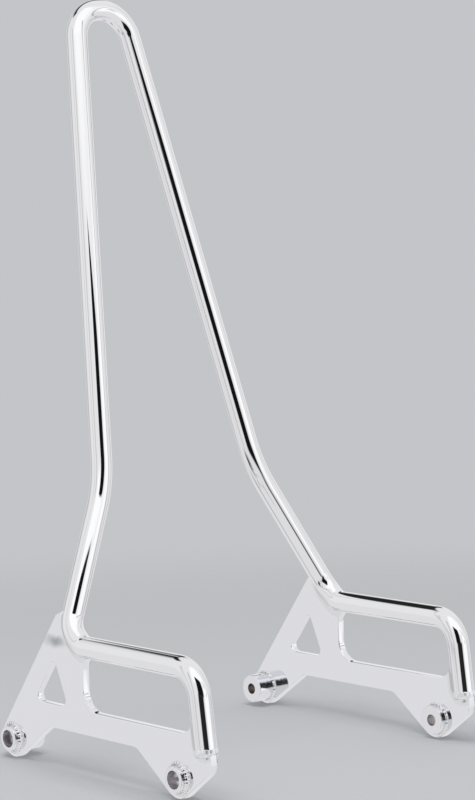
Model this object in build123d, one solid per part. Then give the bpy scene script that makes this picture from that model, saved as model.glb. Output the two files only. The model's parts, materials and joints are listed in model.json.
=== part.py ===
from build123d import *
import os
from math import asin, atan2, cos, degrees, hypot, radians, sin, sqrt, tan

# A bolt-on sissy bar for a motorbike: one round steel bar bent into a tall hoop and two short side
# rails, welded into the coped edges of two flat side plates, with four turned bosses for the bolts.
# Millimetres, Y forward, Z up. While it is built, the rear bolt axis is Y = 0, Z = 0 and X = 0 is
# midway between the plates. At the end every piece moves to the frame that the object stands in.

# Round bar and its bends, radii to the middle of the bar
BAR_DIAMETER = 15.875
FRONT_BEND = 22.0
REAR_BEND = 14.0
LEG_BEND = 24.0
KINK_BEND = 120.0
ARCH_BEND = 26.1

# Side rails: where the middles of the bar's straight runs meet, ahead of the front bolt or from the rear one
BAR_END_AHEAD = 26.5
BAR_END_Z = 20.0
RAIL_FRONT_AHEAD = 19.6
RAIL_FRONT_Z = 77.6
RAIL_REAR_Y = 86.1
RAIL_REAR_Z = 78.2

# Hoop: its legs rise from the rails, lean back, turn upright at a kink and close in a small arch
LEG_FOOT_BACK = 14.6
LEG_FOOT_RISE = 11.7
HOOP_LEAN = 12.6
KINK_HALF_WIDTH = 74.1
KINK_Z = 188.1
ARCH_Z = 517.9

# Side plates
PLATE_SPACING = 250.9
PLATE_THICKNESS = 6.0
BOLT_SPACING = 194.0
REAR_LOBE_MARGIN = 3.4
FRONT_LOBE_MARGIN = 6.0
FRONT_LOBE_BACK = 2.0
LOWER_EDGE_Z = 14.8
REAR_NOTCH_Y = 46.5
REAR_NOTCH_ROUND = 3.5
FRONT_NOTCH_BACK = 46.8
FRONT_NOTCH_ROUND = 10.0
TIP_BACK = 12.8
TIP_RISE = 9.3
TIP_SLOPE = 22.0
TOE_DROP = 11.1
TOE_ROUND = 10.0
COPE_DEPTH = 1.5

# Openings in the plates
STRIP_HEIGHT = 17.5
WINDOW_REAR_Y = 88.9
WINDOW_ROUND = 15.0
WINDOW_TOP_ROUND = 10.0
WINDOW_FRONT_ROUND = 14.0
TRIANGLE_WEB = 16.5
TRIANGLE_BASE = 41.0
TRIANGLE_HEIGHT = 34.0
TRIANGLE_REAR_ROUND = 5.0
TRIANGLE_FRONT_ROUND = 5.0
TRIANGLE_TOP_ROUND = 3.0

# Bosses: a neck with a counterbore stands out of the plate and a spacer stands inside it
BOLT_HOLE = 8.5
COUNTERBORE = 13.0
COUNTERBORE_DEPTH = 8.5
NECK_WALL = 3.0
NECK_PROUD = 5.3
NECK_CLEARANCE = 0.05
SPACER_SHOULDER = 1.5
REAR_SPACER_LENGTH = 15.4
FRONT_SPACER_LENGTH = 5.8
BOSS_EDGE_ROUND = 0.8

# Welds, ground hollow: radii of the hollows, and how far the seams run
OUTER_HOLLOW = 8.0
INNER_HOLLOW = 12.0
HOLLOW_BITE = 0.2
LEG_SEAM_RISE = 24.0
END_SEAM_LIFT = 6.0
END_SEAM_AHEAD = 2.2
END_SEAM_BEND = 1.0
NECK_HOLLOW = 3.0
SPACER_HOLLOW = 1.8

bar_radius = BAR_DIAMETER / 2
half_plate = PLATE_THICKNESS / 2
plate_x = PLATE_SPACING / 2
outer_x = plate_x + half_plate
inner_x = plate_x - half_plate
neck_radius = COUNTERBORE / 2 + NECK_WALL
spacer_radius = neck_radius + SPACER_SHOULDER
rear_lobe_radius = spacer_radius + REAR_LOBE_MARGIN
front_lobe_radius = spacer_radius + FRONT_LOBE_MARGIN
leg_foot_y = RAIL_REAR_Y - LEG_FOOT_BACK
leg_foot_z = RAIL_REAR_Z + LEG_FOOT_RISE
strip_z = LOWER_EDGE_Z + STRIP_HEIGHT
lean = radians(HOOP_LEAN)
right = Vector(1, 0, 0)


def on_hoop(x, z):
    """The point of the hoop's leaning plane at a width and a height."""
    return Vector(x, leg_foot_y - (z - leg_foot_z) * tan(lean), z)


# Corners of the bar on the right-hand side, where the middles of its straight runs would meet
bar_end = Vector(plate_x, BOLT_SPACING + BAR_END_AHEAD, BAR_END_Z)
rail_front = Vector(plate_x, BOLT_SPACING + RAIL_FRONT_AHEAD, RAIL_FRONT_Z)
rail_rear = Vector(plate_x, RAIL_REAR_Y, RAIL_REAR_Z)
leg_foot = on_hoop(plate_x, leg_foot_z)
kink = on_hoop(KINK_HALF_WIDTH, KINK_Z)

# The upper legs are tangent to the arch, so its radius sets how far they lean in
arch_rise = (ARCH_Z - KINK_Z) / cos(lean)
leg_angle = atan2(KINK_HALF_WIDTH, arch_rise) - asin(ARCH_BEND / hypot(KINK_HALF_WIDTH, arch_rise))
apex = on_hoop(0, KINK_Z + KINK_HALF_WIDTH / tan(leg_angle) * cos(lean))

# The bar's front run climbs from its square end, whose own plane runs forward. The rail runs to the front
front_climb = (rail_front - bar_end).normalized()
end_forward = front_climb.cross(right)
rail_run = (rail_front - rail_rear).normalized()


def on_rail(y):
    """The point of the rail's middle at a distance ahead of the rear bolt."""
    return rail_rear + rail_run * ((y - rail_rear.Y) / rail_run.Y)


def on_front_run(z):
    """The point of the front run's middle at a height."""
    return bar_end + front_climb * ((z - bar_end.Z) / front_climb.Z)


def follow(corners, bends, section):
    """A section carried along straight runs and round bends. Its own X axis is right x run."""

    def placed(point, run):
        return Plane(point, x_dir=right.cross(run), z_dir=run) * section

    start = corners[0]
    lengths = []
    for before, corner, after, bend in zip(corners, corners[1:], corners[2:], bends):
        run_in = (corner - before).normalized()
        run_out = (after - corner).normalized()
        turn = run_in.get_angle(run_out)
        setback = bend * tan(radians(turn / 2))
        bend_start = corner - run_in * setback
        turn_axis = run_in.cross(run_out)
        centre = bend_start + turn_axis.cross(run_in).normalized() * bend
        lengths.append(extrude(placed(start, run_in), (bend_start - start).length))
        lengths.append(revolve(placed(bend_start, run_in), Axis(centre, turn_axis), turn))
        start = corner + run_out * setback
    run = (corners[-1] - start).normalized()
    lengths.append(extrude(placed(start, run), (corners[-1] - start).length))
    whole = lengths[0]
    for length in lengths[1:]:
        whole = whole + length
    return whole


def make_hoop_bar():
    right_half = [bar_end, rail_front, rail_rear, leg_foot, kink]
    left_half = [Vector(-point.X, point.Y, point.Z) for point in reversed(right_half)]
    right_bends = [FRONT_BEND, REAR_BEND, LEG_BEND, KINK_BEND]
    bends = right_bends + [ARCH_BEND] + right_bends[::-1]
    seam_off_the_plate = Rot(0, 0, 180) * Circle(bar_radius)
    return follow(right_half + [apex] + left_half, bends, seam_off_the_plate)


# Points of the plate's outline as (Y, Z). Both lobes reach down to the same level
tip = (leg_foot.Y - TIP_BACK, leg_foot.Z + TIP_RISE)
rear_notch = (REAR_NOTCH_Y, LOWER_EDGE_Z)
front_notch = (BOLT_SPACING - FRONT_NOTCH_BACK, LOWER_EDGE_Z)
rear_lobe = (0, 0)
front_lobe = (BOLT_SPACING - FRONT_LOBE_BACK, front_lobe_radius - rear_lobe_radius)
front_corner = bar_end + end_forward * bar_radius
toe = (front_corner.Y, bar_end.Z - TOE_DROP)


def touching(point, lobe, radius, side):
    """Where a line from a point touches a lobe: side 1 keeps the lobe on the right, -1 on the left."""
    reach = hypot(lobe[0] - point[0], lobe[1] - point[1])
    heading = atan2(lobe[1] - point[1], lobe[0] - point[0]) + side * asin(radius / reach)
    length = sqrt(reach**2 - radius**2)
    return (point[0] + length * cos(heading), point[1] + length * sin(heading))


rear_edge_foot = touching(tip, rear_lobe, rear_lobe_radius, -1)


def rounded(face, corners):
    """A face with the corner nearest to each point rounded."""
    for point, radius in corners:
        face = fillet(face.vertices().sort_by_distance((*point, 0))[0], radius)
    return face


def plate_outline():
    """The plate's edge. Along the bar it follows the bar's middle, and the bar then trims it."""
    slope = radians(TIP_SLOPE)
    tip_length = (on_hoop(0, tip[1]).Y - tip[0]) / (cos(slope) + sin(slope) * tan(lean))
    outline = Polygon(
        tip,
        rear_edge_foot,
        rear_lobe,
        touching(rear_notch, rear_lobe, rear_lobe_radius, 1),
        rear_notch,
        front_notch,
        touching(front_notch, front_lobe, front_lobe_radius, -1),
        front_lobe,
        touching(toe, front_lobe, front_lobe_radius, 1),
        toe,
        (front_corner.Y, front_corner.Z),
        (bar_end.Y, bar_end.Z),
        (rail_front.Y, rail_front.Z),
        (rail_rear.Y, rail_rear.Z),
        (leg_foot.Y, leg_foot.Z),
        (tip[0] + tip_length * cos(slope), tip[1] + tip_length * sin(slope)),
        align=None,
    )
    outline += Pos(rear_lobe) * Circle(rear_lobe_radius)
    outline += Pos(front_lobe) * Circle(front_lobe_radius)
    bar_rounds = [((rail_front.Y, rail_front.Z), FRONT_BEND), ((rail_rear.Y, rail_rear.Z), REAR_BEND)]
    rounds = [(rear_notch, REAR_NOTCH_ROUND), (front_notch, FRONT_NOTCH_ROUND), (toe, TOE_ROUND)]
    return rounded(outline, bar_rounds + rounds)


def window():
    """The opening under the rail. Its top and front edges run inside the bar, which trims them."""
    inset = bar_radius - COPE_DEPTH
    low_rear = (WINDOW_REAR_Y, strip_z)
    low_front = (on_front_run(strip_z).Y - inset, strip_z)
    top_front = (rail_front.Y - inset, rail_front.Z - inset)
    top_rear = (WINDOW_REAR_Y, on_rail(WINDOW_REAR_Y).Z - inset)
    rounds = [(low_rear, WINDOW_ROUND), (low_front, WINDOW_FRONT_ROUND), (top_rear, WINDOW_TOP_ROUND)]
    return rounded(Polygon(low_rear, low_front, top_front, top_rear, align=None), rounds)


def triangle():
    """The small opening beside the rear edge. Its rear side is parallel to that edge."""
    slope = atan2(tip[1] - rear_edge_foot[1], tip[0] - rear_edge_foot[0])
    on_edge = tip[0] - (tip[1] - strip_z) / tan(slope)
    low_rear = (on_edge + TRIANGLE_WEB / sin(slope), strip_z)
    low_front = (low_rear[0] + TRIANGLE_BASE, strip_z)
    top = (low_rear[0] + TRIANGLE_HEIGHT / tan(slope), strip_z + TRIANGLE_HEIGHT)
    rounds = [(low_rear, TRIANGLE_REAR_ROUND), (low_front, TRIANGLE_FRONT_ROUND), (top, TRIANGLE_TOP_ROUND)]
    return rounded(Polygon(low_rear, low_front, top, align=None), rounds)


def make_side_plate(blank, bar):
    hole = Circle(neck_radius + NECK_CLEARANCE)
    drilled = blank - hole - Pos(BOLT_SPACING, 0) * hole
    return extrude(Plane.YZ.offset(inner_x) * drilled, PLATE_THICKNESS) - bar


def make_boss(bolt_y, spacer_length):
    """A turned boss: its spacer stands on the plate's inner face and its neck passes out through the plate."""
    spacer_end = inner_x - spacer_length
    neck_end = outer_x + NECK_PROUD

    def turned(radius, start_x, end_x):
        return extrude(Plane.YZ.offset(start_x) * Pos(bolt_y, 0) * Circle(radius), end_x - start_x)

    body = turned(spacer_radius, spacer_end, inner_x) + turned(neck_radius, inner_x, neck_end)
    rims = body.edges().filter_by(GeomType.CIRCLE).sort_by(Axis.X)
    body = fillet([rims[0], rims[-1]], BOSS_EDGE_ROUND)
    body -= turned(BOLT_HOLE / 2, spacer_end, neck_end)
    return body - turned(COUNTERBORE / 2, neck_end - COUNTERBORE_DEPTH, neck_end)


def make_boss_weld(bolt_y, radius, hollow, face_x, away):
    """A ring of weld in the corner between a boss and a face of the plate, ground to a hollow."""
    on_plate = (radius + hollow, 0)
    on_boss = (radius, hollow)
    cut = CenterArc((radius + hollow, hollow), hollow, 180, 90)
    profile = make_face(Polyline(on_boss, (radius, 0), on_plate) + cut)
    place = Plane((face_x, bolt_y, 0), x_dir=(0, 1, 0), z_dir=(0, 0, -away))
    return revolve(place * profile, Axis((face_x, bolt_y, 0), right))


def seam_section(hollow):
    """A weld between the bar and the plate's outer face: a hollow that bites a little into the bar."""
    reach = bar_radius + hollow - HOLLOW_BITE
    lift = half_plate + hollow
    side = sqrt(reach**2 - lift**2)
    steepness = degrees(atan2(lift, side))
    cut = CenterArc((side, lift), hollow, 180 + steepness, 90 - steepness)
    return make_face(cut + Polyline(cut @ 1, (0, half_plate), cut @ 0))


def make_seam_welds(blank, bar):
    """Welds along the bar on both faces of the plate, cut off where the plate ends."""
    outer = seam_section(OUTER_HOLLOW)
    inner = mirror(seam_section(INNER_HOLLOW), about=Plane.XZ)
    outside = extrude(Plane.YZ.offset(outer_x) * blank, BAR_DIAMETER)
    inside = extrude(Plane.YZ.offset(inner_x) * blank, -BAR_DIAMETER)
    rail_foot = [on_rail(WINDOW_REAR_Y + WINDOW_TOP_ROUND), rail_rear, leg_foot]
    up_leg = leg_foot + (kink - leg_foot).normalized() * LEG_SEAM_RISE
    beside_leg = on_hoop(plate_x, leg_foot.Z + LEG_SEAM_RISE)
    rear_bends = [REAR_BEND, LEG_BEND]
    end_rear = bar_end + front_climb * END_SEAM_LIFT
    end_front = end_rear + end_forward * END_SEAM_AHEAD
    front_top = on_front_run(strip_z + WINDOW_FRONT_ROUND)
    round_end = [end_front + front_climb * bar_radius, end_front, end_rear, front_top]
    end_bends = [END_SEAM_BEND, END_SEAM_BEND]
    welds = {
        "rear_seam_weld_outer": follow(rail_foot + [up_leg], rear_bends, outer) & outside,
        "rear_seam_weld_inner": follow(rail_foot + [beside_leg], rear_bends, inner) & inside,
        "front_seam_weld_outer": follow(round_end, end_bends, outer) & outside,
        "front_seam_weld_inner": follow(round_end, end_bends, inner) & inside,
    }
    return {name: weld - bar for name, weld in welds.items()}


# Pieces of the right-hand side. Those of the left-hand side mirror them
hoop_bar = make_hoop_bar()
plate_blank = plate_outline() - window() - triangle()
right_side = {
    "side_plate": make_side_plate(plate_blank, hoop_bar),
    "rear_boss": make_boss(0, REAR_SPACER_LENGTH),
    "front_boss": make_boss(BOLT_SPACING, FRONT_SPACER_LENGTH),
}
right_side.update(make_seam_welds(plate_blank, hoop_bar))
for end, bolt_y in (("rear", 0), ("front", BOLT_SPACING)):
    right_side[f"{end}_boss_weld_outer"] = make_boss_weld(bolt_y, neck_radius, NECK_HOLLOW, outer_x, 1)
    right_side[f"{end}_boss_weld_inner"] = make_boss_weld(bolt_y, spacer_radius, SPACER_HOLLOW, inner_x, -1)

parts = {"hoop_bar": hoop_bar}
for name, shape in right_side.items():
    parts[f"{name}_right"] = shape
    parts[f"{name}_left"] = mirror(shape, about=Plane.YZ)

# The standing frame: the origin is under the middle of the whole, level with the lobes
whole = Compound(list(parts.values())).bounding_box()
standing = Pos(0, -whole.center().Y, -whole.min.Z)

os.makedirs("parts", exist_ok=True)
for name, shape in parts.items():
    export_step(standing * shape, f"parts/{name}.step")
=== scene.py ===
import json
import math

import bpy
from mathutils import Matrix, Vector


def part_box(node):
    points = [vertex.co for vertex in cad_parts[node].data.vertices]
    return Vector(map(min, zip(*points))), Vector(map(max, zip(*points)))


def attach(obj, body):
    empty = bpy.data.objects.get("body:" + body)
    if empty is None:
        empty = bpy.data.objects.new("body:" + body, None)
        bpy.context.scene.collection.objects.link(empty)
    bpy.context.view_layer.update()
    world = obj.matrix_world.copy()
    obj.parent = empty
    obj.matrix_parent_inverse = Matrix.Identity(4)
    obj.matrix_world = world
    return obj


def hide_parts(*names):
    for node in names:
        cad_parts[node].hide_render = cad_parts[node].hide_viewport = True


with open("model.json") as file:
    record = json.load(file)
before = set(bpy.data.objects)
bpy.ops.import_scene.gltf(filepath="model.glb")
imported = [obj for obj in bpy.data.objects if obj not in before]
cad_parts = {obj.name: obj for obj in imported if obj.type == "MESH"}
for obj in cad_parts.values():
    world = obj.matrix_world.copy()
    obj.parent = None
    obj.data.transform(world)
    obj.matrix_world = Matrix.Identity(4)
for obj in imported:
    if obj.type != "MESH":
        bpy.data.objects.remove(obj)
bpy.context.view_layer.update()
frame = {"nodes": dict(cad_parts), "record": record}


# The bent bar
# One length of round steel bar, bent cold on a draw bender into the hoop, both rails and both front ends. It
# is polished along its length and plated with nickel and bright chrome, which gives a clean mirror.
MM = 0.001
BAR_DIAMETER_MM = 15.875
BAR_SIDES = 96
BEND_STEPS = 72
BAR_END_ROUND_MM = 1.2
BAR_END_STEPS = 5
BAR_SHARP_DEGREES = 30
# Corners of the bar's middle line on the right: forward of the rear bolt and above it
BAR_END_MM = (220.5, 20.0)
RAIL_FRONT_MM = (213.6, 77.6)
RAIL_REAR_MM = (86.1, 78.2)
LEG_FOOT_MM = (71.5, 89.9)
KINK_MM = (49.55, 188.1)
LEGS_MEET_MM = (-64.87, 700.0)
KINK_HALF_WIDTH_MM = 74.1
# Radius of the bend at each corner
FRONT_BEND_MM = 22.0
REAR_BEND_MM = 14.0
LEG_BEND_MM = 24.0
KINK_BEND_MM = 120.0
ARCH_BEND_MM = 26.1
BAR_CHROME = "#E9E9EC"
# Levels of the haze's noise at which the chrome is clearest and haziest
CLEAR, HAZY = 0.35, 0.75


def linear_rgb(code):
    """An sRGB hex colour as linear red, green, blue and alpha."""
    channels = [int(code[i:i + 2], 16) / 255 for i in (1, 3, 5)]
    linear = [c / 12.92 if c <= 0.04045 else ((c + 0.055) / 1.055) ** 2.4 for c in channels]
    return (*linear, 1.0)


def add_node(tree, kind, links=None, **settings):
    """Adds one node. Settings are its own, and links are its inputs, each a value, an output of another node,
    or another node, which stands for the first output that it has in use."""
    node = tree.nodes.new(kind)
    for name, value in settings.items():
        setattr(node, name, value)
    for socket, value in (links or {}).items():
        if isinstance(value, bpy.types.Node):
            value = next(output for output in value.outputs if output.enabled)
        if isinstance(value, bpy.types.NodeSocket):
            tree.links.new(value, node.inputs[socket])
        else:
            node.inputs[socket].default_value = value
    return node


def bare_tree(owner):
    """The node tree of a material or a world, emptied."""
    owner.use_nodes = True
    owner.node_tree.nodes.clear()
    return owner.node_tree


def bright_chrome(name, colour, haze_mm, ripple_mm, ripple_depth_mm, roughness):
    """Chrome plate over polished steel: a clean mirror with a faint haze and a long, shallow ripple."""
    material = bpy.data.materials.new(name)
    tree = bare_tree(material)
    place = add_node(tree, "ShaderNodeTexCoord").outputs["Object"]
    haze = add_node(tree, "ShaderNodeTexNoise", {
        "Vector": place, "Scale": 1 / (haze_mm * MM), "Detail": 4.0})
    rough = add_node(tree, "ShaderNodeMapRange", {
        "Value": haze, "From Min": CLEAR, "From Max": HAZY, "To Min": roughness[0], "To Max": roughness[1]})
    ripple = add_node(tree, "ShaderNodeTexNoise", {
        "Vector": place, "Scale": 1 / (ripple_mm * MM), "Detail": 1.0})
    bump = add_node(tree, "ShaderNodeBump", {
        "Height": ripple, "Strength": 1.0, "Distance": ripple_depth_mm * MM})
    shader = add_node(tree, "ShaderNodeBsdfPrincipled", {
        "Base Color": linear_rgb(colour), "Metallic": 1.0, "Roughness": rough, "Normal": bump}, name="chrome")
    add_node(tree, "ShaderNodeOutputMaterial", {"Surface": shader})
    return material


bar_chrome = bright_chrome("chrome_on_drawn_bar", BAR_CHROME, haze_mm=3.0, ripple_mm=26.0,
                           ripple_depth_mm=0.01, roughness=(0.02, 0.05))
bolt = {mount["name"]: Vector(mount["pos_m"]) for mount in frame["record"]["mounts"]}
plate_low, plate_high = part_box("side_plate_right")
plate_x = (plate_low.x + plate_high.x) / 2


def from_rear_bolt(x, forward_up_mm):
    """A point at this x, so far forward of the rear bolt and above it."""
    forward, up = forward_up_mm
    return Vector((x, bolt["rear_bolt_right"].y + forward * MM, bolt["rear_bolt_right"].z + up * MM))


right_corners = [
    (from_rear_bolt(plate_x, BAR_END_MM), 0.0),
    (from_rear_bolt(plate_x, RAIL_FRONT_MM), FRONT_BEND_MM * MM),
    (from_rear_bolt(plate_x, RAIL_REAR_MM), REAR_BEND_MM * MM),
    (from_rear_bolt(plate_x, LEG_FOOT_MM), LEG_BEND_MM * MM),
    (from_rear_bolt(KINK_HALF_WIDTH_MM * MM, KINK_MM), KINK_BEND_MM * MM)]
left_corners = [(Vector((-p.x, p.y, p.z)), bend) for p, bend in reversed(right_corners)]
bar_corners = right_corners + [(from_rear_bolt(0.0, LEGS_MEET_MM), ARCH_BEND_MM * MM)] + left_corners
bar_line = bpy.data.meshes.new("bar_line")
bar_line.from_pydata([p for p, bend in bar_corners], [(i, i + 1) for i in range(len(bar_corners) - 1)], [])
bends = bar_line.attributes.new("bend", "FLOAT", "POINT")
bends.data.foreach_set("value", [bend for p, bend in bar_corners])


def sized_tree(name, sizes):
    """A geometry tree with one geometry in, one out, and a named input for each size."""
    tree = bpy.data.node_groups.new(name, "GeometryNodeTree")
    tree.interface.new_socket("Geometry", in_out="INPUT", socket_type="NodeSocketGeometry")
    for size, kind in sizes.items():
        tree.interface.new_socket(size, in_out="INPUT", socket_type=kind)
    tree.interface.new_socket("Geometry", in_out="OUTPUT", socket_type="NodeSocketGeometry")
    return tree, tree.nodes.new("NodeGroupInput").outputs


def end_tree(tree, shape, finish):
    """Ends a geometry tree: its shape, made real and plated, goes out."""
    plain = add_node(tree, "GeometryNodeRealizeInstances", {"Geometry": shape})
    plated = add_node(tree, "GeometryNodeSetMaterial", {"Geometry": plain, "Material": finish})
    add_node(tree, "NodeGroupOutput", {"Geometry": plated})


def set_out(name, data):
    """A new object with this mesh, curve, lamp or camera, set out in the scene."""
    thing = bpy.data.objects.new(name, data)
    bpy.context.scene.collection.objects.link(thing)
    return thing


def plain_mesh(maker):
    """The plain mesh that an object's curve or modifier makes. The object itself is cleared away."""
    evaluated = maker.evaluated_get(bpy.context.evaluated_depsgraph_get())
    mesh = bpy.data.meshes.new_from_object(evaluated)
    bpy.data.objects.remove(maker)
    return mesh


def made_piece(name, line, tree, values):
    """The piece that a geometry tree makes along a line, with these values for the tree's inputs."""
    maker = set_out(name + "_maker", line)
    modifier = maker.modifiers.new("make", "NODES")
    modifier.node_group = tree
    for item in tree.interface.items_tree:
        if item.name in values:
            modifier[item.identifier] = values[item.name]
    return set_out(name, plain_mesh(maker))


tree, size = sized_tree("draw_bent_bar", {
    "Diameter": "NodeSocketFloat", "Sides": "NodeSocketInt", "Bend Steps": "NodeSocketInt",
    "Finish": "NodeSocketMaterial"})
line = add_node(tree, "GeometryNodeMeshToCurve", {"Mesh": size["Geometry"]})
bend = add_node(tree, "GeometryNodeInputNamedAttribute", {"Name": "bend"}, data_type="FLOAT")
bent = add_node(tree, "GeometryNodeFilletCurve", {
    "Curve": line, "Count": size["Bend Steps"], "Radius": bend}, mode="POLY")
radius = add_node(tree, "ShaderNodeMath", {0: size["Diameter"], 1: 2.0}, operation="DIVIDE")
section = add_node(tree, "GeometryNodeCurvePrimitiveCircle", {"Resolution": size["Sides"], "Radius": radius})
swept = add_node(tree, "GeometryNodeCurveToMesh", {
    "Curve": bent, "Profile Curve": section, "Scale": 1.0, "Fill Caps": True})
corner = add_node(tree, "GeometryNodeInputMeshEdgeAngle").outputs["Unsigned Angle"]
blunt = add_node(tree, "FunctionNodeCompare", {0: corner, 1: math.radians(BAR_SHARP_DEGREES)},
                 operation="LESS_THAN", data_type="FLOAT")
smooth = add_node(tree, "GeometryNodeSetShadeSmooth", {
    "Geometry": swept, "Shade Smooth": blunt}, domain="EDGE")
end_tree(tree, smooth, size["Finish"])
bar = made_piece("bent_bar", bar_line, tree, {
    "Diameter": BAR_DIAMETER_MM * MM, "Sides": BAR_SIDES, "Bend Steps": BEND_STEPS, "Finish": bar_chrome})
broken_end = bar.modifiers.new("broken_end", "BEVEL")
broken_end.width = BAR_END_ROUND_MM * MM
broken_end.segments = BAR_END_STEPS
broken_end.limit_method = "ANGLE"
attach(bar, "root")
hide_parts("hoop_bar")


# The side plates
# Flat steel plate, cut to shape and coped to take the bar, its edges broken by hand, then belt-polished on
# both faces and plated with the bar as one weldment. It mirrors broad pale fields, softer than the bar does.
PLATE_EDGE_BREAK_MM = 0.8
PLATE_EDGE_STEPS = 2
PLATE_SHARP_DEGREES = 15
PLATE_CHROME = "#E8E8EC"
# A soft grey patch under each tip, painted as a dark reflection: forward of the rear bolt, above it, and its
# half widths
PAINTED_DARK_REFLECTION = "#ABAEB2"
PAINTED_REFLECTION_MM = (57.0, 79.5)
PAINTED_REFLECTION_REACH_MM = (19.0, 6.0)
# Its uneven edge: the size of the patches in it, how much they shift it, and where it starts and is full, as
# shares of the half widths
PAINTED_REFLECTION_PATCH_MM = 7.0
PAINTED_REFLECTION_SHIFT = 0.7
PAINTED_REFLECTION_STARTS, PAINTED_REFLECTION_FULL = 1.4, 0.35
# A triangle of the solid is in a plate's face where it squarely faces along x and is this near the face, and
# its corners are told apart by this many digits
SQUARE_ON = 0.99
FACE_NEAR_MM = 0.01
POINT_DIGITS = 7
nodes = frame["nodes"]
plate_chrome = bright_chrome("chrome_on_flat_plate", PLATE_CHROME, haze_mm=2.0, ripple_mm=40.0,
                             ripple_depth_mm=0.012, roughness=(0.03, 0.07))


def on_outer_side(tree, x):
    """1 outside the middle of either plate and 0 between the plates."""
    offset = add_node(tree, "ShaderNodeMath", {0: x}, operation="ABSOLUTE")
    return add_node(tree, "ShaderNodeMath", {0: offset, 1: plate_x}, operation="GREATER_THAN")


# The outer faces' colour gets the painted dark reflection under each tip
tree = plate_chrome.node_tree
place = add_node(tree, "ShaderNodeTexCoord").outputs["Object"]
from_painted_reflection = add_node(tree, "ShaderNodeVectorMath", {
    0: place, 1: from_rear_bolt(0.0, PAINTED_REFLECTION_MM)}, operation="SUBTRACT")
in_reaches = add_node(tree, "ShaderNodeVectorMath", {
    0: from_painted_reflection, 1: (0.0, 1 / (PAINTED_REFLECTION_REACH_MM[0] * MM), 1 / (PAINTED_REFLECTION_REACH_MM[1] * MM))}, operation="MULTIPLY")
reaches = add_node(tree, "ShaderNodeVectorMath", {0: in_reaches}, operation="LENGTH")
uneven = add_node(tree, "ShaderNodeTexNoise", {
    "Vector": place, "Scale": 1 / (PAINTED_REFLECTION_PATCH_MM * MM), "Detail": 2.0})
ragged = add_node(tree, "ShaderNodeMath", {0: uneven, 1: PAINTED_REFLECTION_SHIFT, 2: reaches}, operation="MULTIPLY_ADD")
painted_reflection = add_node(tree, "ShaderNodeMapRange", {
    "Value": ragged, "From Min": PAINTED_REFLECTION_STARTS, "From Max": PAINTED_REFLECTION_FULL}, interpolation_type="SMOOTHSTEP")
across = add_node(tree, "ShaderNodeSeparateXYZ", {0: place}).outputs["X"]
where = add_node(tree, "ShaderNodeMath", {0: painted_reflection, 1: on_outer_side(tree, across)}, operation="MULTIPLY")
tint = add_node(tree, "ShaderNodeMix", {
    "Factor": where, "A": linear_rgb(PLATE_CHROME), "B": linear_rgb(PAINTED_DARK_REFLECTION)}, data_type="RGBA")
tree.links.new(tint.outputs["Result"], tree.nodes["chrome"].inputs["Base Color"])


def face_loops(node, x):
    """The closed outlines, as points (y, z), of the solid's flat face at this x."""
    mesh = nodes[node].data
    rim = {}
    for face in mesh.polygons:
        if abs(face.normal.x) > SQUARE_ON and abs(face.center.x - x) < FACE_NEAR_MM * MM:
            ring = [tuple(round(c, POINT_DIGITS) for c in mesh.vertices[v].co[1:]) for v in face.vertices]
            for a, b in zip(ring, ring[1:] + ring[:1]):
                # An edge between two triangles runs once each way, so it isn't on the rim
                if (b, a) in rim:
                    del rim[(b, a)]
                else:
                    rim[(a, b)] = True
    after = {a: b for a, b in rim}
    loops = []
    while after:
        first, point = after.popitem()
        loop = [first]
        while point != first:
            loop.append(point)
            point = after.pop(point)
        loops.append(loop)
    return loops


def cut_plate(name, node):
    """The plate as cut from sheet: its outer face's outlines, drawn through its thickness, edges broken."""
    low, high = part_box(node)
    sheet = bpy.data.curves.new(name, "CURVE")
    sheet.dimensions = "2D"
    sheet.fill_mode = "BOTH"
    sheet.extrude = (high.x - low.x) / 2 - PLATE_EDGE_BREAK_MM * MM
    sheet.bevel_depth = PLATE_EDGE_BREAK_MM * MM
    sheet.bevel_resolution = PLATE_EDGE_STEPS
    sheet.offset = -PLATE_EDGE_BREAK_MM * MM
    for loop in face_loops(node, high.x if high.x > 0 else low.x):
        spline = sheet.splines.new("POLY")
        spline.points.add(len(loop) - 1)
        spline.use_cyclic_u = True
        for point, (y, z) in zip(spline.points, loop):
            point.co = (y, z, 0.0, 1.0)
    mesh = plain_mesh(set_out(name + "_maker", sheet))
    # The sheet's two directions and its thickness become y, z and x
    upright = Matrix(((0, 0, 1, (low.x + high.x) / 2), (1, 0, 0, 0), (0, 1, 0, 0), (0, 0, 0, 1)))
    mesh.transform(upright)
    mesh.shade_smooth()
    mesh.set_sharp_from_angle(angle=math.radians(PLATE_SHARP_DEGREES))
    return set_out(name, mesh)


def wear(mesh, material):
    """Gives the mesh this material and no other."""
    mesh.materials.clear()
    mesh.materials.append(material)


for side in ("right", "left"):
    plate = cut_plate("cut_plate_" + side, "side_plate_" + side)
    wear(plate.data, plate_chrome)
    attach(plate, "root")
    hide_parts("side_plate_" + side)


# The bolt bosses
# Turned from round steel bar and welded into the plates: a counterbored neck outside and a spacer inside.
# Plating hardly reaches down the bolt hole, so its wall stays dull, and the sides keep the tool's fine rings.
BOSS_CHROME = "#E6E6EA"
# The counterbore and the hole's wall are tinted darker than the boss: partly the thin plating's own tone,
# partly painted shade in the recess
COUNTERBORE_CHROME_AND_SHADE = "#DAD6DC"
BARE_BORE_AND_SHADE = "#C0BAB8"
BORE_RADIUS_MM = 4.25
COUNTERBORE_RADIUS_MM = 6.5
# Where the dull finish and painted shade of the hole and of the counterbore start and are full, out from the
# wall
BORE_DULL_MM = (0.25, 0.05)
COUNTERBORE_DULL_MM = (0.2, -0.1)
# What that finish adds to the roughness
BORE_DULLER = 0.25
COUNTERBORE_DULLER = 0.28
# The tool's rings, drawn coarser than real ones so that they show
TURNING_PITCH_MM = 1.1
TURNING_DEPTH_MM = 0.005


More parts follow.
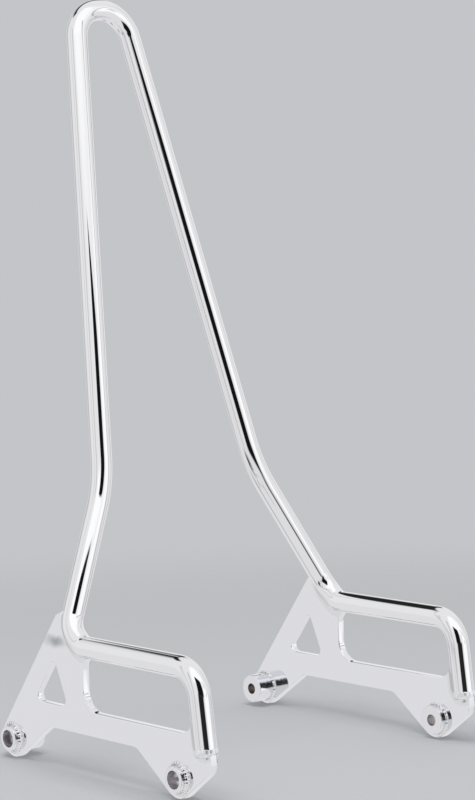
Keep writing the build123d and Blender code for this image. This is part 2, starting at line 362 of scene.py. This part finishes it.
def from_bolt(tree, bolt_at):
    """The place measured from a bolt's axis."""
    place = add_node(tree, "ShaderNodeTexCoord").outputs["Object"]
    return add_node(tree, "ShaderNodeVectorMath", {
        0: place, 1: (0.0, bolt_at.y, bolt_at.z)}, operation="SUBTRACT")


def add_waves(material, turns, depth_mm):
    """Adds waves to the material's surface: one crest for each 2 pi of this value."""
    tree = material.node_tree
    normal = tree.nodes["chrome"].inputs["Normal"]
    wave = add_node(tree, "ShaderNodeMath", {0: turns}, operation="SINE")
    bump = add_node(tree, "ShaderNodeBump", {
        "Height": wave, "Strength": 1.0, "Distance": depth_mm * MM, "Normal": normal.links[0].from_socket})
    tree.links.new(bump.outputs["Normal"], normal)


def turned_chrome(name, bolt_at):
    """Chrome over turned steel: rings round the bolt's axis, and a counterbore and a hole that are dull and
    tinted darker, partly the thin plating's tone and partly painted shade.
    """
    material = bright_chrome(name, BOSS_CHROME, haze_mm=1.0, ripple_mm=4.0,
                             ripple_depth_mm=0.09, roughness=(0.1, 0.18))
    tree = material.node_tree
    shader = tree.nodes["chrome"]
    place = from_bolt(tree, bolt_at)
    across = add_node(tree, "ShaderNodeSeparateXYZ", {0: place}).outputs["X"]
    flat = add_node(tree, "ShaderNodeVectorMath", {0: place, 1: (0.0, 1.0, 1.0)}, operation="MULTIPLY")
    out = add_node(tree, "ShaderNodeVectorMath", {0: flat}, operation="LENGTH")
    rings = add_node(tree, "ShaderNodeMath", {
        0: across, 1: math.tau / (TURNING_PITCH_MM * MM)}, operation="MULTIPLY")
    add_waves(material, rings, TURNING_DEPTH_MM)
    in_hole_dull_and_shaded = add_node(tree, "ShaderNodeMapRange", {
        "Value": out, "From Min": (BORE_RADIUS_MM + BORE_DULL_MM[0]) * MM,
        "From Max": (BORE_RADIUS_MM + BORE_DULL_MM[1]) * MM})
    near_axis = add_node(tree, "ShaderNodeMapRange", {
        "Value": out, "From Min": (COUNTERBORE_RADIUS_MM + COUNTERBORE_DULL_MM[0]) * MM,
        "From Max": (COUNTERBORE_RADIUS_MM + COUNTERBORE_DULL_MM[1]) * MM})
    outside = on_outer_side(tree, across)
    in_counterbore_dull_and_shaded = add_node(tree, "ShaderNodeMath", {0: near_axis, 1: outside}, operation="MULTIPLY")
    tint = linear_rgb(BOSS_CHROME)
    rough = shader.inputs["Roughness"].links[0].from_socket
    # The counterbore and the hole get their darker tint, which is partly painted shade, and more roughness
    for inside, colour, duller in ((in_counterbore_dull_and_shaded, COUNTERBORE_CHROME_AND_SHADE, COUNTERBORE_DULLER),
                                   (in_hole_dull_and_shaded, BARE_BORE_AND_SHADE, BORE_DULLER)):
        tint = add_node(tree, "ShaderNodeMix", {
            "Factor": inside, "A": tint, "B": linear_rgb(colour)}, data_type="RGBA")
        rough = add_node(tree, "ShaderNodeMath", {0: inside, 1: duller, 2: rough}, operation="MULTIPLY_ADD")
    tree.links.new(tint.outputs["Result"], shader.inputs["Base Color"])
    tree.links.new(rough.outputs["Value"], shader.inputs["Roughness"])
    return material


for end in ("rear", "front"):
    boss_chrome = turned_chrome("chrome_on_turned_" + end + "_boss", bolt[end + "_bolt_right"])
    for side in ("right", "left"):
        wear(nodes[end + "_boss_" + side].data, boss_chrome)


# The welds
# The seams between plate and bar are ground hollow and polished before plating, so that the mirror runs on
# from the plate to the bar, a little duller. The rings round the bosses keep the ripples of the bead.
# The seams' colour is a little darker than the plate's, a painted dim reflection along the hollow; their
# extra roughness is the ground finish
SEAM_CHROME_PAINTED_DIM = "#E2E2E5"
RING_CHROME = "#E4E4E7"
RING_RIPPLES = 24
RIPPLE_DEPTH_MM = 0.14
seam_chrome = bright_chrome("chrome_on_ground_seam", SEAM_CHROME_PAINTED_DIM, haze_mm=2.0, ripple_mm=7.0,
                            ripple_depth_mm=0.03, roughness=(0.08, 0.18))
for name in nodes:
    if "seam_weld" in name:
        wear(nodes[name].data, seam_chrome)
for end in ("rear", "front"):
    ring_chrome = bright_chrome("chrome_on_" + end + "_weld_ring", RING_CHROME, haze_mm=2.0, ripple_mm=7.0,
                                ripple_depth_mm=0.03, roughness=(0.05, 0.12))
    tree = ring_chrome.node_tree
    part = add_node(tree, "ShaderNodeSeparateXYZ", {0: from_bolt(tree, bolt[end + "_bolt_right"])}).outputs
    around = add_node(tree, "ShaderNodeMath", {0: part["Z"], 1: part["Y"]}, operation="ARCTAN2")
    ripples = add_node(tree, "ShaderNodeMath", {0: around, 1: RING_RIPPLES}, operation="MULTIPLY")
    add_waves(ring_chrome, ripples, RIPPLE_DEPTH_MM)
    for name in nodes:
        if end + "_boss_weld" in name:
            wear(nodes[name].data, ring_chrome)


# The end beads
# A thick bead of weld, left as it was laid round each square end of the bar and then plated with the rest. It
# is lumpy, and too rough for a clear mirror.
BEAD_CHROME = "#F2F3F7"
# Its section, out from the bar and along it, then the radius of its ring and how far up the bar that lies
BEAD_THICK_MM = 5.2
BEAD_TALL_MM = 7.2
BEAD_RING_MM = 5.8
BEAD_RISE_MM = 2.2
# Lumps round the ring, and how far each stands out
BEAD_LUMPS = 9
LUMP_MM = 0.22
BEAD_SIDES = 32
BEAD_STEPS = 96
bead_chrome = bright_chrome("chrome_on_laid_bead", BEAD_CHROME, haze_mm=1.5, ripple_mm=2.5,
                            ripple_depth_mm=0.2, roughness=(0.42, 0.52))
tree, size = sized_tree("lay_bead", {
    "Thick": "NodeSocketFloat", "Tall": "NodeSocketFloat", "Sides": "NodeSocketInt",
    "Finish": "NodeSocketMaterial"})
line = add_node(tree, "GeometryNodeMeshToCurve", {"Mesh": size["Geometry"]})
unit_circle = add_node(tree, "GeometryNodeCurvePrimitiveCircle", {"Resolution": size["Sides"], "Radius": 0.5})
spread = add_node(tree, "ShaderNodeCombineXYZ", {"X": size["Thick"], "Y": size["Tall"], "Z": 1.0})
section = add_node(tree, "GeometryNodeTransform", {"Geometry": unit_circle, "Scale": spread})
swept = add_node(tree, "GeometryNodeCurveToMesh", {"Curve": line, "Profile Curve": section, "Scale": 1.0})
smooth = add_node(tree, "GeometryNodeSetShadeSmooth", {"Geometry": swept, "Shade Smooth": True})
end_tree(tree, smooth, size["Finish"])


def even_turns(count):
    """So many even steps round a full turn, in radians."""
    return [math.tau * k / count for k in range(count)]


for side, x in (("right", plate_x), ("left", -plate_x)):
    bar_end = from_rear_bolt(x, BAR_END_MM)
    up_bar = (from_rear_bolt(x, RAIL_FRONT_MM) - bar_end).normalized()
    out_of_plate = Vector((1.0, 0.0, 0.0))
    in_plate = up_bar.cross(out_of_plate)
    ring = []
    for turn in even_turns(BEAD_STEPS):
        reach = (BEAD_RING_MM + LUMP_MM * math.sin(BEAD_LUMPS * turn)) * MM
        ring.append(bar_end + up_bar * BEAD_RISE_MM * MM
                    + (out_of_plate * math.cos(turn) + in_plate * math.sin(turn)) * reach)
    bead_line = bpy.data.meshes.new("bead_line_" + side)
    bead_line.from_pydata(ring, [(k, (k + 1) % BEAD_STEPS) for k in range(BEAD_STEPS)], [])
    bead = made_piece("end_bead_" + side, bead_line, tree, {
        "Thick": BEAD_THICK_MM * MM, "Tall": BEAD_TALL_MM * MM, "Sides": BEAD_SIDES, "Finish": bead_chrome})
    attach(bead, "root")


# The floor
# A plain pale table top. It is matt under the object, where it keeps the shadow, and fades into the backdrop.
FLOOR_COLOUR = "#CBCDD0"
FLOOR_RADIUS_MM = 1200.0
FLOOR_SIDES = 96
FADE_FROM_MM = 450.0
FADE_TO_MM = 1140.0
floor_mesh = bpy.data.meshes.new("floor")
ring = [(FLOOR_RADIUS_MM * MM * math.cos(a), FLOOR_RADIUS_MM * MM * math.sin(a), 0.0)
        for a in even_turns(FLOOR_SIDES)]
floor_mesh.from_pydata(ring, [], [range(FLOOR_SIDES)])
floor = set_out("floor", floor_mesh)
floor.visible_glossy = False
floor_paint = bpy.data.materials.new("matt_table_top")
tree = bare_tree(floor_paint)
place = add_node(tree, "ShaderNodeTexCoord").outputs["Object"]
reach = add_node(tree, "ShaderNodeVectorMath", {0: place}, operation="LENGTH")
fade = add_node(tree, "ShaderNodeMapRange", {
    "Value": reach, "From Min": FADE_FROM_MM * MM, "From Max": FADE_TO_MM * MM},
    interpolation_type="SMOOTHSTEP")
matt = add_node(tree, "ShaderNodeBsdfDiffuse", {"Color": linear_rgb(FLOOR_COLOUR)})
clear = add_node(tree, "ShaderNodeBsdfTransparent")
whole = add_node(tree, "ShaderNodeMixShader", {0: fade, 1: matt, 2: clear})
add_node(tree, "ShaderNodeOutputMaterial", {"Surface": whole})
floor_mesh.materials.append(floor_paint)


# The studio round it
# Walls of white cloth with grey seams, low dark panels and two dark gaps: one where the camera looks in, one
# over the back wall. The bars mirror them as thin lines. The camera itself sees a plain pale backdrop.
BACKDROP_COLOUR = "#C3C5C8"
WALL_LEVEL = 0.95
TABLE_LEVEL = 0.88
TABLE_ENDS_DEGREES = -8
WALL_STARTS_DEGREES = 4
SOFT_LIGHT = 0.6
LAMP_WIDTH_MM = 1000.0
LAMP_WATTS = 9.0
LAMP_PLACE_MM = (200.0, 100.0, 1500.0)
# Brightness, then the middle, half width, foot, top and soft edge in degrees, then any slope and tilt
WALL_PATCHES = {
    "dim cloth behind": (0.58, 178, 16, -20, 34, 10),
    "low panel behind, on the right": (0.35, 134, 7, -46, -32, 5),
    "low panel behind, on the left": (0.35, -142, 6, -46, -34, 5),
    "lowest panel behind": (0.4, 180, 9, -66, -49, 5),
    "low panel on the right": (0.06, 92, 14, -30, -18, 4),
    "low panel on the left": (0.06, -92, 14, -30, -18, 4),
    "small panel behind, on the left": (0.5, -148, 8, -23, -17, 3),
    "lit cloth ahead": (1.2, -27, 20, -14, 26, 7),
    "lit cloth overhead": (1.2, 18, 60, 30, 84, 7),
    "leaning seam ahead, on the left": (0.55, -58, 2.5, -10, 40, 2.5, 1.0),
    "short seam ahead": (0.62, -32, 3.5, 2, 11, 3),
    "leaning seam on the left": (0.7, -72, 2.0, -10, 40, 2.0, 0.3),
    "seam on the left": (0.6, -86, 3.0, -12, 40, 3.0),
    "seam on the right": (0.62, 94, 4, -12, 40, 4),
    "seam behind, on the right": (0.72, 120, 3, -14, 40, 4),
    "gap round the camera": (0.02, 30, 24.5, -6, 9, 4),
    "foot of that gap": (0.1, 16.5, 6, -22, -7, 3.5),
    "dim cloth under the gap behind": (0.3, -155, 14, 20, 42, 7),
    "gap over the back wall": (0.02, -170, 40, 36.5, 53, 4, 0.0, 0.28)}
world = bpy.data.worlds.new("studio")
bpy.context.scene.world = world
tree = bare_tree(world)
ray = add_node(tree, "ShaderNodeLightPath").outputs
towards = add_node(tree, "ShaderNodeTexCoord").outputs["Generated"]
axes = add_node(tree, "ShaderNodeSeparateXYZ", {0: towards}).outputs
turned = add_node(tree, "ShaderNodeMath", {0: axes["X"], 1: axes["Y"]}, operation="ARCTAN2")
raised = add_node(tree, "ShaderNodeMath", {0: axes["Z"]}, operation="ARCSINE")


def patch(middle, half_width, low, high, soft, slope=0.0, tilt=0.0):
    """1 inside a soft-edged patch of the studio's wall, 0 outside. Degrees round from ahead to the right, and
    degrees up. A slope leans its sides by so many degrees for each degree up, and a tilt its foot and top."""
    leaned = add_node(tree, "ShaderNodeMath", {0: raised, 1: -slope, 2: turned}, operation="MULTIPLY_ADD")
    aside = add_node(tree, "ShaderNodeMath", {0: leaned, 1: math.radians(middle)}, operation="SUBTRACT")
    off = add_node(tree, "ShaderNodeMath", {0: aside, 1: math.pi, 2: -math.pi}, operation="WRAP")
    away = add_node(tree, "ShaderNodeMath", {0: off}, operation="ABSOLUTE")
    tilted = add_node(tree, "ShaderNodeMath", {0: off, 1: tilt, 2: raised}, operation="MULTIPLY_ADD")
    inside = 1.0
    for value, outer, inner in ((away, half_width + soft, half_width - soft),
                                (tilted, low - soft, low + soft), (tilted, high + soft, high - soft)):
        edge = add_node(tree, "ShaderNodeMapRange", {
            "Value": value, "From Min": math.radians(outer), "From Max": math.radians(inner)},
            interpolation_type="SMOOTHSTEP")
        inside = add_node(tree, "ShaderNodeMath", {0: inside, 1: edge}, operation="MULTIPLY")
    return inside


wall = add_node(tree, "ShaderNodeMapRange", {
    "Value": raised, "From Min": math.radians(TABLE_ENDS_DEGREES),
    "From Max": math.radians(WALL_STARTS_DEGREES), "To Min": TABLE_LEVEL, "To Max": WALL_LEVEL},
    interpolation_type="SMOOTHSTEP")
for level, *shape in WALL_PATCHES.values():
    wall = add_node(tree, "ShaderNodeMix", {"Factor": patch(*shape), "A": wall, "B": level})
light = add_node(tree, "ShaderNodeMix", {"Factor": ray["Is Glossy Ray"], "A": SOFT_LIGHT, "B": wall})
backdrop = add_node(tree, "ShaderNodeBackground", {"Color": linear_rgb(BACKDROP_COLOUR), "Strength": 1.0})
studio = add_node(tree, "ShaderNodeBackground", {"Color": (1.0, 1.0, 1.0, 1.0), "Strength": light})
whole = add_node(tree, "ShaderNodeMixShader", {0: ray["Is Camera Ray"], 1: studio, 2: backdrop})
add_node(tree, "ShaderNodeOutputWorld", {"Surface": whole})
lamp_data = bpy.data.lights.new("overhead_softbox", "AREA")
lamp_data.shape = "SQUARE"
lamp_data.size = LAMP_WIDTH_MM * MM
lamp_data.energy = LAMP_WATTS
lamp = set_out("overhead_softbox", lamp_data)
lamp.location = Vector(LAMP_PLACE_MM) * MM
lamp.visible_glossy = False


# The dark gap
# The opening in the cloth that the camera looks through. The bars mirror it as a thin black line.
GAP_BLACK = "#141416"
GAP_HEADING_DEGREES = 32.0
GAP_DISTANCE_MM = 800.0
GAP_LEFT_MM, GAP_RIGHT_MM = -410.0, 300.0
GAP_FOOT_MM = 90.0
GAP_LEFT_TOP_MM, GAP_RIGHT_TOP_MM = 755.0, 930.0
# How far its soft edges reach in, as shares of its width and height
GAP_SIDE_SOFT = 0.127
GAP_TOP_SOFT = 0.05
GAP_FOOT_SOFT = 0.1
gap_turn = math.radians(GAP_HEADING_DEGREES)
gap_out = Vector((math.sin(gap_turn), math.cos(gap_turn), 0.0))
gap_across = Vector((gap_out.y, -gap_out.x, 0.0))
gap_corners = [(gap_out * GAP_DISTANCE_MM + gap_across * aside + Vector((0.0, 0.0, up))) * MM
               for aside, up in ((GAP_LEFT_MM, GAP_FOOT_MM), (GAP_RIGHT_MM, GAP_FOOT_MM),
                                 (GAP_RIGHT_MM, GAP_RIGHT_TOP_MM), (GAP_LEFT_MM, GAP_LEFT_TOP_MM))]
gap_mesh = bpy.data.meshes.new("camera_gap")
gap_mesh.from_pydata(gap_corners, [], [(0, 1, 2, 3)])
gap_uv = gap_mesh.uv_layers.new(name="gap")
for corner_uv, place_uv in zip(gap_uv.data, ((0, 0), (1, 0), (1, 1), (0, 1))):
    corner_uv.uv = place_uv
gap = set_out("camera_gap", gap_mesh)
gap.visible_camera = False
gap.visible_diffuse = False
gap.visible_shadow = False
dark = bpy.data.materials.new("unlit_gap")
tree = bare_tree(dark)
on_gap = add_node(tree, "ShaderNodeUVMap", uv_map="gap")
share = add_node(tree, "ShaderNodeSeparateXYZ", {0: on_gap}).outputs
centred = add_node(tree, "ShaderNodeMath", {0: share["X"], 1: 0.5}, operation="SUBTRACT")
from_middle = add_node(tree, "ShaderNodeMath", {0: centred}, operation="ABSOLUTE")
inside = 1.0
for value, outer, inner, fading in ((from_middle, 0.5, 0.5 - GAP_SIDE_SOFT, "SMOOTHSTEP"),
                                    (share["Y"], 1.0, 1.0 - GAP_TOP_SOFT, "SMOOTHSTEP"),
                                    (share["Y"], 0.0, GAP_FOOT_SOFT, "LINEAR")):
    edge = add_node(tree, "ShaderNodeMapRange", {
        "Value": value, "From Min": outer, "From Max": inner}, interpolation_type=fading)
    inside = add_node(tree, "ShaderNodeMath", {0: inside, 1: edge}, operation="MULTIPLY")
black = add_node(tree, "ShaderNodeEmission", {"Color": linear_rgb(GAP_BLACK), "Strength": 1.0})
open_air = add_node(tree, "ShaderNodeBsdfTransparent")
both = add_node(tree, "ShaderNodeMixShader", {0: inside, 1: open_air, 2: black})
add_node(tree, "ShaderNodeOutputMaterial", {"Surface": both})
gap_mesh.materials.append(dark)


# The camera
# Ahead of the object and to its right, a little above its middle, with a long lens and a slight roll.
CAMERA_PLACE_MM = (1145.6, 1356.3, 401.5)
CAMERA_TARGET_MM = (-11.7, 10.0, 260.2)
CAMERA_ROLL_DEGREES = -1.88
CAMERA_LENS_MM = 108.04
camera_data = bpy.data.cameras.new("camera")
camera_data.lens = CAMERA_LENS_MM
camera = set_out("camera", camera_data)
camera_place = Vector(CAMERA_PLACE_MM) * MM
gaze = Vector(CAMERA_TARGET_MM) * MM - camera_place
roll = Matrix.Rotation(math.radians(CAMERA_ROLL_DEGREES), 3, "Z")
turn = gaze.to_track_quat("-Z", "Y").to_matrix() @ roll
camera.matrix_world = Matrix.Translation(camera_place) @ turn.to_4x4()
bpy.context.scene.camera = camera
bpy.context.scene.view_settings.view_transform = "Standard"
